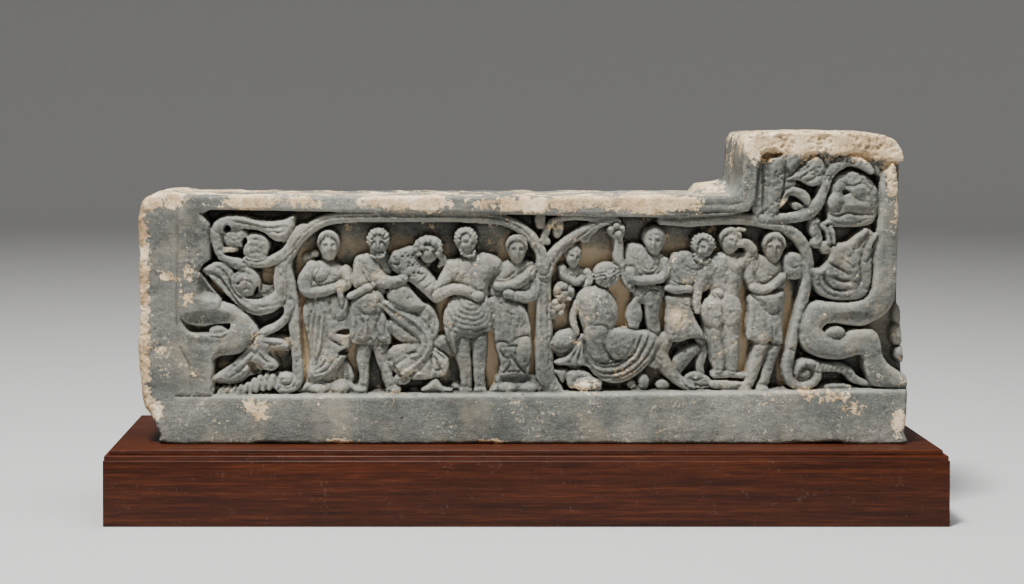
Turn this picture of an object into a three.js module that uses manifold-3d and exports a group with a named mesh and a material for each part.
// A carved schist relief panel, once the corner block of a stepped monument, on its polished wooden plinth.
// Millimetres, +Z up, the carved face towards -Y, the origin under the middle of the plinth.
// The carving is drawn on a sheet whose x runs right from the middle of the stone and z up from its foot.
import * as THREE from "three";
import { mergeVertices } from "three/addons/utils/BufferGeometryUtils.js";
import Module from "manifold-3d";

const wasm = await Module();
wasm.setup();

const plinth = { length: 585, depth: 166, height: 49, ledge: 4, stepHeight: 3.5 };
const stone = {
  length: 540,
  thickness: 92,
  height: 174,
  setBack: 25,
  footHeight: 38,
  footLip: 6,
  sideBreak: 8,
  cornerBreak: 22,
};
const block = { length: 114, rise: 46, corner: 15, fillet: 5 };
const border = { left: 46, top: 11, block: 13, blockTop: 17, corner: 6 };
const panel = { left: 26, drop: 1.2, inset: 2 }; // the framed strip, sunk a little below the left border
const backLedge = { length: 32, rise: 6, thickness: 42 };
const relief = { depth: 22 };

// The sheet that the carving is drawn on has these sizes, and is stretched to the stone's own.
const sheet = { length: 540, height: 174, depth: 22 };
const across = stone.length / sheet.length;
const up = stone.height / sheet.height;
const deep = relief.depth / sheet.depth;

const plinthTop = plinth.height + plinth.stepHeight;
const faceY = -plinth.depth / 2 + plinth.ledge + stone.setBack;
const groundY = faceY + relief.depth;
const backY = faceY + stone.thickness;
const stoneLeft = -stone.length / 2;
const stoneRight = stone.length / 2;
const sideRight = stoneRight - stone.footLip;
const blockLeft = sideRight - block.length + block.corner / 2;
const blockTop = stone.height + block.rise;
const embed = 2.5; // how far a carved form reaches into the ground behind it
const overlap = 1; // how far one solid runs into the next where they join

// Half-widths of limbs, from the body outwards, and the head's half-sizes.
const armWidths = [5, 4.2, 3.2];
const legWidths = [7, 5.2, 3.8];
const footWidths = [3.6, 2.8];
const headSize = { width: 7.6, height: 10.6, depth: 8 };
const bossSides = [5, 3];

const place = (x, z, out) =>
  new THREE.Vector3(x * across, groundY - out * deep, plinthTop + z * up);

// A closed three.js geometry as a solid that manifold-3d can join and cut.
function solid(geometry) {
  const bare = geometry.clone();
  bare.deleteAttribute("normal");
  bare.deleteAttribute("uv");
  const merged = mergeVertices(bare, 1e-3);
  const at = merged.getAttribute("position");
  const corners = [0, 1, 2].map(() => new THREE.Vector3());
  let triangles = [];
  let volume = 0;
  for (let i = 0; i < merged.index.count; i += 3) {
    const [a, b, c] = [0, 1, 2].map((k) => merged.index.getX(i + k));
    if (a === b || b === c || a === c) continue;
    [a, b, c].forEach((n, k) => corners[k].fromBufferAttribute(at, n));
    volume += corners[0].dot(corners[1].clone().cross(corners[2]));
    triangles.push([a, b, c]);
  }
  if (volume < 0) triangles = triangles.map(([a, b, c]) => [a, c, b]);
  return new wasm.Manifold(
    new wasm.Mesh({
      numProp: 3,
      vertProperties: new Float32Array(at.array),
      triVerts: new Uint32Array(triangles.flat()),
    }),
  );
}

function toMesh(name, made, material) {
  const { vertProperties, triVerts } = made.getMesh();
  const geometry = new THREE.BufferGeometry()
    .setAttribute("position", new THREE.BufferAttribute(vertProperties, 3))
    .setIndex(new THREE.BufferAttribute(triVerts, 1));
  geometry.computeVertexNormals();
  const mesh = new THREE.Mesh(geometry, material);
  mesh.name = name;
  return mesh;
}

// An outline on the sheet's plane, extruded backwards from y to y + thickness.
function upright(outline, y, thickness) {
  const shape = new THREE.Shape(outline.map(([x, z]) => new THREE.Vector2(x, z)));
  const geometry = new THREE.ExtrudeGeometry(shape, { depth: thickness, bevelEnabled: false });
  geometry.rotateX(Math.PI / 2).translate(0, y + thickness, plinthTop);
  return solid(geometry);
}

// A carved form: rings along a path of [x, z, half-width], rounded in front and running back into the ground.
// front is how far its crown stands out of the ground, as one value or one for each end; flutes is the depth
// of the furrows that run along it.
function form(path, front, { steps = path.length - 1, sides = 6, round = 1, tips = 0, flutes = 0 } = {}) {
  const line = new THREE.CatmullRomCurve3(path.map(([x, z, w]) => new THREE.Vector3(x, w, z)));
  const [frontStart, frontEnd] = Array.isArray(front) ? front : [front, front];
  const geometry = new THREE.CylinderGeometry(1, 1, 1, sides, steps);
  const at = geometry.getAttribute("position");
  for (let i = 0; i < at.count; i++) {
    const t = 0.5 - at.getY(i);
    const spot = line.getPoint(t);
    const along = line.getTangent(t).setY(0).normalize();
    const narrow = tips && (t < 1e-6 || t > 1 - 1e-6) ? tips : 1;
    const width = spot.y * narrow;
    const crown = THREE.MathUtils.lerp(frontStart, frontEnd, t) - width * (1 - narrow);
    const dome = Math.min(crown, width * round);
    const corner = Math.round((Math.atan2(at.getX(i), at.getZ(i)) * sides) / (2 * Math.PI));
    const furrow = corner % 2 ? flutes : 0;
    const side = at.getX(i) * width;
    const out = at.getZ(i) >= -1e-6 ? crown - dome + dome * at.getZ(i) - furrow : -embed;
    const put = place(spot.x + along.z * side, spot.z - along.x * side, out);
    at.setXYZ(i, put.x, put.y, put.z);
  }
  return solid(geometry);
}

// A rounded boss: an ellipsoid at (x, z) whose front stands out by front.
function boss([x, z], [width, height], front, depth) {
  const geometry = new THREE.SphereGeometry(1, ...bossSides).rotateX(-Math.PI / 2);
  geometry.scale(width * across, depth * deep, height * up);
  const put = place(x, z, front - depth);
  return solid(geometry.translate(put.x, put.y, put.z));
}

// Ridges side by side, from one edge curve to the other, as folds of cloth or the ribs of a leaf.
function ridges(first, last, count, width, front) {
  const made = [];
  for (let n = 0; n < count; n++) {
    const share = count > 1 ? n / (count - 1) : 0.5;
    const path = first.map(([x, z], i) => [
      THREE.MathUtils.lerp(x, last[i][0], share),
      THREE.MathUtils.lerp(z, last[i][1], share),
      width,
    ]);
    made.push(form(path, front, { sides: 3, round: 1.2 }));
  }
  return made;
}

// A head is a rounded skull and face inside a fuller crown of hair, with a neck down to the chest.
function head({ at: [x, z], turn = 0, size = 1, bald = false, neck = [x, z - 14] }) {
  const { width, height, depth } = headSize;
  const look = Math.sin(THREE.MathUtils.degToRad(turn));
  const face = [width * 0.92 * size, height * size];
  const made = [
    boss([x + look, z - 0.5], face, 20.5, depth * size),
    form([[x, z, 4.5 * size], [...neck, 5.5 * size]], 12, { sides: 3 }),
  ];
  if (bald) return made;
  const hair = [width * 1.22 * size, height * 0.82 * size];
  return [...made, boss([x - look * 2, z + 3 * size], hair, 18.5, depth * size)];
}

const widen = (joints, widths, size) => joints.map(([x, z], i) => [x, z, widths[Math.min(i, 2)] * size]);

const arm = ({ joints, front = [17, 20], size = 1 }) =>
  form(widen(joints, armWidths, size), front, { sides: 4, tips: 0.6 });

function leg({ joints, toe, front = 15, size = 1 }) {
  const [, , ankle] = joints;
  const foot = [ankle, toe].map(([x, z], i) => [x, z, footWidths[i] * size]);
  return [
    form(widen(joints, legWidths, size), front, { sides: 5 }),
    form(foot, [front, front + 1], { sides: 4, tips: 0.6 }),
  ];
}

// Every figure of the frieze, from left to right. Paths are [x, z, half-width] on the sheet.
const figures = {
  robedWoman: {
    head: { at: [-138, 140], turn: 18, neck: [-139, 126] },
    body: [{ path: [[-139, 127, 9], [-141, 118, 15], [-142, 104, 14]], front: 15 }],
    arms: [
      { joints: [[-152, 122], [-156, 107], [-132, 111]], front: [15, 20] },
      { joints: [[-127, 121], [-123, 112], [-129, 102]], front: [15, 19], size: 0.9 },
    ],
    cloth: [
      { path: [[-142, 104, 13], [-140, 80, 15], [-141, 62, 13], [-145, 45, 8.5]], front: [15, 17], flutes: 2 },
      { path: [[-131, 99, 4], [-130, 89, 6.5]], front: 17, tips: 0.6 },
      { path: [[-131, 82, 5], [-128, 74, 6], [-132, 66, 5]], front: 16 },
    ],
    feet: [[-146, 38], [-129, 39]],
  },
  tunicMan: {
    head: { at: [-103, 142.5], turn: -6, neck: [-104, 129] },
    body: [{ path: [[-104, 130, 11], [-106, 120, 14], [-108, 107, 11]], front: 15 }],
    arms: [
      { joints: [[-117, 127], [-118, 115], [-111, 111]], front: 16 },
      { joints: [[-110, 125], [-103, 114], [-85, 115]], front: [17, 21] },
    ],
    cloth: [
      { path: [[-109, 101, 12], [-110, 84, 14.5], [-110, 71, 15]], front: [15, 18], flutes: 2 },
      { path: [[-108, 108, 10], [-108, 100, 11.5], [-108, 92, 6]], front: 18 },
      { path: [[-124, 104, 3], [-117, 107, 3.6], [-108, 111, 3]], front: 19 },
    ],
    legs: [
      { joints: [[-114, 72], [-114, 54], [-114, 41]], toe: [-119, 38] },
      { joints: [[-102, 72], [-99, 54], [-96, 41]], toe: [-90, 38] },
    ],
  },
  reelingWoman: {
    head: { at: [-68, 136.5], turn: 25, neck: [-74, 124], size: 1.02 },
    body: [
      { path: [[-96, 125, 6], [-84, 127, 9.5], [-72, 126, 8]], front: 15 },
      { path: [[-77, 122, 9], [-83, 112, 11.5], [-84, 103, 13], [-81, 95, 12]], front: 17 },
    ],
    arms: [{ joints: [[-78, 120], [-68, 108], [-59, 103]], front: [17, 19] }],
    cloth: [
      { path: [[-88, 91, 8], [-79, 83, 10.5], [-70, 75, 8.5]], front: 18 },
      { path: [[-69, 74, 8], [-80, 63, 8.5], [-90, 54, 6]], front: [18, 16] },
      { path: [[-100, 101, 3], [-84, 91, 4], [-62, 81, 3]], front: 20 },
      { path: [[-68, 97, 4], [-62, 86, 5], [-70, 68, 4.5], [-88, 50, 3]], front: [17, 20] },
      { path: [[-72, 66, 6], [-63, 57, 10], [-68, 48, 8]], front: 17, flutes: 2 },
      { path: [[-62, 73, 4], [-54, 67, 4.5], [-46, 61, 4]], front: 11 },
    ],
    bosses: [{ at: [-85, 45], size: [4.6, 4.6], front: 14 }],
    feet: [[-62, 40]],
  },
  nakedMan: {
    head: { at: [-40, 142.5], turn: 55, neck: [-38, 130] },
    body: [
      { path: [[-38, 132, 9], [-37, 126, 17], [-37, 114, 13.5], [-37, 104, 11.5]], front: [15, 17] },
    ],
    arms: [
      { joints: [[-51, 124], [-57, 112], [-61, 102]], front: [14, 18] },
      { joints: [[-61, 102], [-48, 109], [-33, 105]], front: [18, 20], size: 0.95 },
      { joints: [[-21, 126], [-17, 119], [-20, 113]], front: [14, 16] },
    ],
    cloth: [{ path: [[-37, 104, 12], [-40, 91, 16], [-40, 80, 15], [-38, 73, 11]], front: 18, flutes: 2 }],
    folds: [{ first: [[-50, 92], [-38, 83], [-27, 92]], count: 1, front: 20 }],
    legs: [
      { joints: [[-44, 78], [-42, 56], [-41, 41]], toe: [-42, 37] },
      { joints: [[-32, 78], [-31, 56], [-30, 41]], toe: [-29, 37] },
    ],
  },
  robedYouth: {
    head: { at: [-5, 137], turn: 8, neck: [-5, 124] },
    body: [{ path: [[-5, 127, 9], [-5, 119, 14.5], [-5, 104, 13]], front: 15 }],
    arms: [
      { joints: [[3, 122], [-7, 113], [-19, 110]], front: [17, 18], size: 0.85 },
      { joints: [[9, 121], [9, 107], [-6, 102]], front: [15, 19] },
    ],
    cloth: [
      { path: [[-8, 100, 13], [-9, 80, 14], [-9, 62, 14], [-8, 50, 12]], front: [15, 17], flutes: 2 },
      { path: [[-14, 104, 4], [-14, 84, 3]], front: 18, tips: 0.5 },
      { path: [[-13, 74, 5.5], [-17, 52, 3]], front: 18 },
    ],
    feet: [[-12, 39], [4, 39]],
  },
  smallFaun: {
    head: { at: [36, 132], turn: 25, neck: [35, 120], size: 0.76 },
    body: [{ path: [[36, 123, 6], [35, 118, 10], [37, 112, 8]], front: 12 }],
    arms: [
      { joints: [[44, 119], [47, 114], [42, 111]], front: 14, size: 0.8 },
      { joints: [[28, 121], [25, 114], [29, 107]], front: 14, size: 0.8 },
    ],
    cloth: [{ path: [[29, 108, 7], [26, 99, 5.5], [20, 89, 3.5]], front: 14, tips: 0.6 }],
  },
  seatedDrinker: {
    head: { at: [59, 119], neck: [55, 108], size: 0.98 },
    body: [
      { path: [[51, 110, 12], [51, 97, 16], [53, 84, 13.5], [57, 73, 13]], front: [17, 19], sides: 8 },
    ],
    arms: [{ joints: [[40, 105], [37, 85], [25, 65]], front: [14, 16], size: 1.15 }],
    cloth: [
      { path: [[39, 74, 3], [33, 55, 11]], front: 13 },
      { path: [[76, 79, 5], [90, 74, 5], [97, 59, 8]], front: 14 },
    ],
    folds: [
      {
        first: [[78, 76], [74, 58], [57, 52], [42, 68]],
        last: [[90, 74], [80, 50], [54, 44], [38, 66]],
        count: 2,
        width: 2.4,
        front: 18,
      },
    ],
    bosses: [
      { at: [51, 66], size: [8, 8.5], front: 20 },
      { at: [66, 70], size: [11.5, 10.5], front: 21 },
      { at: [45, 40], size: [10, 5.5], front: 18 },
      { at: [27, 47], size: [5.5, 6.5], front: 12 },
      { at: [81, 42], size: [7, 6], front: 15 },
    ],
  },
  standingBoy: {
    head: { at: [92, 143], turn: -25, neck: [90, 131], bald: true },
    body: [
      { path: [[90, 133, 9], [88, 127, 13.5], [88, 114, 11]], front: 14 },
      { path: [[88, 112, 10], [88, 102, 10]], front: 15 },
    ],
    arms: [
      { joints: [[76, 134], [76, 120], [93, 115]], front: [14, 18] },
      { joints: [[99, 131], [99, 120], [86, 115]], front: [14, 17] },
      { joints: [[72, 118], [69, 134], [66, 151]], front: [16, 18], size: 0.95 },
    ],
    legs: [
      { joints: [[81, 106], [77, 92], [77, 82]], toe: [77, 79], front: 14, size: 1.05 },
      { joints: [[92, 106], [91, 90], [93, 76]], toe: [94, 73], front: 14 },
    ],
  },
  satyr: {
    head: { at: [128, 140], turn: 50, neck: [118, 128] },
    body: [{ path: [[117, 131, 8], [112, 124, 11], [110, 110, 9]], front: 15 }],
    arms: [{ joints: [[119, 127], [126, 113], [121, 97]], front: [16, 19] }],
    cloth: [
      { path: [[109, 108, 9], [110, 92, 10.5], [112, 72, 12]], front: [15, 18], flutes: 2 },
      { path: [[101, 111, 3], [109, 109, 3.6], [118, 110, 3]], front: 18 },
    ],
    legs: [
      { joints: [[99, 72], [97, 60], [105, 46]], toe: [116, 41], front: 15 },
      { joints: [[120, 72], [112, 63], [106, 54]], toe: [104, 50], front: 12 },
      { joints: [[126, 84], [128, 62], [126, 48]], toe: [131, 42], front: 12, size: 0.8 },
    ],
  },
  nakedWoman: {
    head: { at: [146, 143.5], turn: 30, neck: [145, 131] },
    body: [
      { path: [[145, 133, 11], [144, 125, 14.5], [143, 113, 11], [141, 104, 12]], front: [16, 17] },
      { path: [[140, 102, 12.5], [139, 93, 14], [140, 82, 12]], front: 18 },
    ],
    arms: [
      { joints: [[158, 128], [163, 137], [153, 141]], front: [15, 19] },
      { joints: [[132, 124], [128, 110], [123, 96]], front: [15, 19] },
    ],
    cloth: [
      { path: [[134, 47, 3], [145, 49, 4], [156, 46, 3]], front: 13 },
      { path: [[134, 41, 3.5], [156, 41, 3.5]], front: 15 },
    ],
    legs: [
      { joints: [[134, 88], [137, 68], [139, 52]], toe: [137, 48], front: 16 },
      { joints: [[146, 88], [147, 68], [147, 52]], toe: [149, 48], front: 16 },
    ],
    bosses: [{ at: [137, 107], size: [4.2, 4.2], front: 19 }],
  },
  rightAttendant: {
    head: { at: [177, 139], turn: -12, neck: [175, 127] },
    body: [{ path: [[176, 129, 9], [174, 122, 13.5], [172, 108, 11]], front: 15 }],
    arms: [
      { joints: [[163, 127], [160, 116], [166, 108]], front: [15, 18] },
      { joints: [[188, 128], [193, 119], [181, 117]], front: [15, 19], size: 1.1 },
    ],
    cloth: [
      { path: [[171, 104, 11], [171, 86, 13.5], [171, 71, 13.5]], front: [15, 17], flutes: 2 },
      { path: [[172, 106, 11], [173, 98, 10.5], [176, 92, 5]], front: 18 },
      { path: [[163, 108, 3], [171, 107, 3.6], [180, 116, 3]], front: 19.5 },
    ],
    legs: [
      { joints: [[168, 74], [164, 55], [161, 43]], toe: [165, 39] },
      { joints: [[177, 74], [175, 55], [172, 43]], toe: [176, 39], front: 12 },
    ],
  },
};

const vines = {
  leftTrunk: {
    path: [[-166, 41, 4], [-161, 58, 4], [-162, 90, 4], [-163, 120, 4.2], [-155, 142, 4.6], [-140, 155, 4.6],
      [-120, 159.5, 4.4], [-60, 159.5, 4.2], [-20, 158.5, 4.4], [-3, 152, 4.6], [6, 141, 4.6], [13, 124, 5]],
    steps: 10,
  },
  leftLoop: {
    path: [[-166, 134, 4], [-173, 116, 4.4], [-175, 100, 4.4], [-186, 91, 4.4], [-200, 97, 4.6], [-212, 111, 4],
      [-223, 122, 2.5]],
    steps: 6,
  },
  leftRing: {
    path: [[-160, 142, 4], [-176, 129, 4.4], [-196, 126, 4.4], [-213, 132, 4.4], [-219, 146, 4.4], [-210, 157, 4.4],
      [-196, 158, 4.4], [-180, 154, 6], [-164, 159, 2]],
    steps: 8,
  },
  middleTrunk: {
    path: [[14, 36, 8], [14, 60, 7], [13, 92, 6.4], [15, 116, 6.2], [23, 133, 4.8], [34, 147, 4.4], [48, 154, 4.4],
      [58, 155, 3]],
    steps: 7,
  },
  middleArch: {
    path: [[10, 140, 4], [14, 151, 4.4], [28, 159, 4.2], [46, 161, 4], [60, 158, 4.2], [67, 150, 4.6]],
    steps: 4,
  },
  rightArch: {
    path: [[98, 157.5, 4], [125, 157, 4.4], [160, 158, 4.4], [190, 158, 4.4], [206, 166, 4.4], [213, 183, 4.4],
      [222, 197, 4.2], [236, 199, 4], [247, 188, 4], [247, 170, 4.4], [238, 158, 4.8], [222, 155, 4.6],
      [208, 150, 4.6]],
    steps: 12,
  },
  rightTrunk: {
    path: [[166, 156, 4], [184, 152, 4.6], [196, 140, 4.8], [199, 124, 5], [195, 104, 4.6], [189, 80, 4.4],
      [187, 58, 4.4], [190, 45, 4.6], [199, 42, 4.4], [206, 48, 4], [202, 56, 3.4]],
    steps: 11,
  },
  rightLoop: {
    path: [[200, 124, 4.4], [206, 110, 4.4], [220, 104, 4.4], [235, 105, 4.4], [244, 116, 4.4], [246, 130, 4],
      [243, 145, 2.6]],
    steps: 6,
  },
  blockStem: { path: [[168, 160, 6], [170, 174, 6.5], [175, 188, 7.5], [180, 202, 5]], steps: 3 },
};

const tails = {
  right: {
    path: [[254, 204, 5], [255, 170, 6.5], [254, 135, 7], [253, 112, 7.4], [241, 97.5, 7.6], [222, 92.5, 7.6],
      [205, 90, 7.8], [199.5, 80, 7.8], [206, 70.5, 7.6], [222, 68, 7.6], [240, 68.5, 7.6], [250, 58, 7],
      [264, 45, 4]],
    steps: 13,
  },
  left: {
    path: [[-238, 92, 6], [-222, 93, 7.6], [-205, 91.5, 7.8], [-196, 81, 7.8], [-205, 70.5, 7.6], [-222, 67.5, 7],
      [-234, 60, 6], [-238, 48, 5]],
    steps: 9,
  },
};

// A leaf is a broad form whose edges swell into lobes.
const leaves = [
  { path: [[-196, 152, 4], [-182, 151, 7.5], [-164, 160, 2]], lobes: 2 },
  { path: [[-176, 76, 6], [-188, 65, 11], [-200, 54, 10], [-216, 43, 4]], lobes: 3 },
  { path: [[-208, 119, 6], [-199, 112, 8], [-188, 100, 6]], lobes: 2 },
  { path: [[240, 142, 5], [233, 130, 8], [224, 119, 7], [215, 121, 4]], lobes: 2 },
  { path: [[210, 56, 4], [221, 54, 4.6], [231, 49, 4.6], [246, 41, 2.5]], lobes: 2 },
  { path: [[182, 189, 5], [194, 195, 8], [208, 199, 4]], lobes: 2 },
  { path: [[184, 176, 4], [193, 175, 6.5], [201, 167, 4]], lobes: 2 },
  { path: [[236, 185, 5], [236, 176, 8], [230, 168, 5]], lobes: 2 },
];

const bosses = [
  { at: [-190, 138], size: [9, 8.5], front: 17 },
  { at: [-193, 118], size: [7.5, 7], front: 17 },
  { at: [-170, 46], size: [8, 7.5], front: 17 },
  { at: [-217, 79], size: [5.5, 3.4], front: 12 },
  { at: [-154, 130], size: [5.5, 5], front: 13 },
  { at: [220, 79], size: [6.5, 4], front: 12 },
  { at: [219, 171], size: [6.5, 6.5], front: 18 },
  { at: [207, 142], size: [4.5, 4], front: 15 },
  { at: [24, 149], size: [4, 5], front: 15 },
];

function leaf({ path, lobes }) {
  const line = new THREE.CatmullRomCurve3(path.map(([x, z, w]) => new THREE.Vector3(x, w, z)));
  const scalloped = line.getPoints(lobes * 2).map(({ x, y, z }, n) => [x, z, y * (n % 2 ? 1.25 : 0.8)]);
  return form(scalloped, 17, { sides: 4, tips: 0.6, round: 0.6 });
}

function figure({ head: top, body = [], arms = [], legs = [], cloth = [], folds = [], bosses: extra = [], feet = [] }) {
  return [
    ...head(top),
    ...body.map(({ path, front, sides = 6 }) => form(path, front, { sides, round: 0.8 })),
    ...cloth.map(({ path, front, tips, flutes }) =>
      form(path, front, { sides: flutes ? 10 : 6, round: 0.7, tips, flutes }),
    ),
    ...folds.flatMap(({ first, last = first, count, width = 1.6, front = 17.5 }) =>
      ridges(first, last, count, width, front),
    ),
    ...arms.map(arm),
    ...legs.flatMap(leg),
    ...extra.map(({ at, size, front }) => boss(at, size, front, 9)),
    ...feet.map((at) => boss(at, [7, 4.5], 19, 10)),
  ];
}

// The block's outline from the foot's left end round to its right, with its broken edge and corners.
function outline() {
  const { sideBreak, cornerBreak, height, footHeight } = stone;
  const { corner, fillet } = block;
  return [
    [stoneLeft + cornerBreak, 0],
    [stoneLeft + sideBreak, cornerBreak * 0.6],
    [stoneLeft + sideBreak * 0.25, cornerBreak * 1.3],
    [stoneLeft, height * 0.5],
    [stoneLeft, height - cornerBreak],
    [stoneLeft + sideBreak * 0.7, height - sideBreak * 0.5],
    [stoneLeft + cornerBreak * 0.8, height + sideBreak * 0.25],
    [stoneLeft + cornerBreak * 1.6, height],
    [blockLeft - fillet, height],
    [blockLeft, height + fillet],
    [blockLeft, blockTop - fillet],
    [blockLeft + fillet, blockTop],
    [sideRight - corner, blockTop],
    [sideRight - corner * 0.3, blockTop - corner * 0.3],
    [sideRight, blockTop - corner],
    [sideRight, footHeight],
    [stoneRight, footHeight],
    [stoneRight, 0],
  ];
}

// The sunk field: between the borders, up into the tall block, and open at the carved right-hand end.
function field() {
  const left = stoneLeft + border.left;
  const top = stone.height - border.top;
  const side = blockLeft + border.block;
  const high = blockTop - border.blockTop;
  const shoulder = high - block.corner * 0.7;
  const past = stoneRight + border.corner;
  return [
    [left, stone.footHeight],
    [left, top - border.corner],
    [left + border.corner, top],
    [side - block.fillet, top],
    [side, top + block.fillet],
    [side, high],
    [sideRight - block.corner, high],
    [sideRight - block.corner * 0.5, shoulder],
    [past, shoulder],
    [past, stone.footHeight],
  ];
}

function carvedStone() {
  const body = upright(outline(), faceY, stone.thickness);
  const sunk = upright(field(), faceY - overlap, relief.depth + overlap);
  const panelHeight = stone.height - stone.footHeight - 2 * panel.inset;
  const margin = new THREE.BoxGeometry(border.left - panel.left, panel.drop * 2, panelHeight).translate(
    stoneLeft + (panel.left + border.left) / 2,
    faceY,
    plinthTop + stone.footHeight + panelHeight / 2,
  );
  const ledge = new THREE.BoxGeometry(backLedge.length, backLedge.thickness, backLedge.rise * 2).translate(
    sideRight - block.length,
    backY - backLedge.thickness / 2,
    plinthTop + stone.height - overlap,
  );
  const carving = [
    ...Object.values(vines).map(({ path, steps }) => form(path, 20, { steps, sides: 5, round: 1.1 })),
    ...Object.values(tails).map(({ path, steps }) => form(path, [21, 20], { steps, sides: 6, round: 0.9 })),
    ...leaves.map(leaf),
    ...bosses.map(({ at, size, front }) => boss(at, size, front, 10)),
    ...Object.values(figures).flatMap(figure),
  ];
  const bare = body.subtract(sunk).subtract(solid(margin));
  return filled(wasm.Manifold.union([bare, solid(ledge), ...carving]));
}

// Forms that lean on one another can close off a pocket: only the outermost skin is kept.
function filled(made) {
  const skins = made.decompose().sort((a, b) => b.volume() - a.volume());
  return skins[0];
}

function plinthSolid() {
  const base = new THREE.BoxGeometry(plinth.length, plinth.depth, plinth.height).translate(0, 0, plinth.height / 2);
  const stepHeight = plinth.stepHeight + overlap;
  const step = new THREE.BoxGeometry(plinth.length - 2 * plinth.ledge, plinth.depth - 2 * plinth.ledge, stepHeight)
    .translate(0, 0, plinthTop - stepHeight / 2);
  return solid(base).add(solid(step));
}

const schist = new THREE.MeshStandardMaterial({ name: "schist", color: 0x7d8280, roughness: 0.85, metalness: 0 });
const mahogany = new THREE.MeshStandardMaterial({ name: "mahogany", color: 0x4a2114, roughness: 0.35, metalness: 0 });

const reliefPanel = new THREE.Group();
reliefPanel.add(toMesh("stone_relief", carvedStone(), schist));
reliefPanel.add(toMesh("wooden_plinth", plinthSolid(), mahogany));

export default reliefPanel;
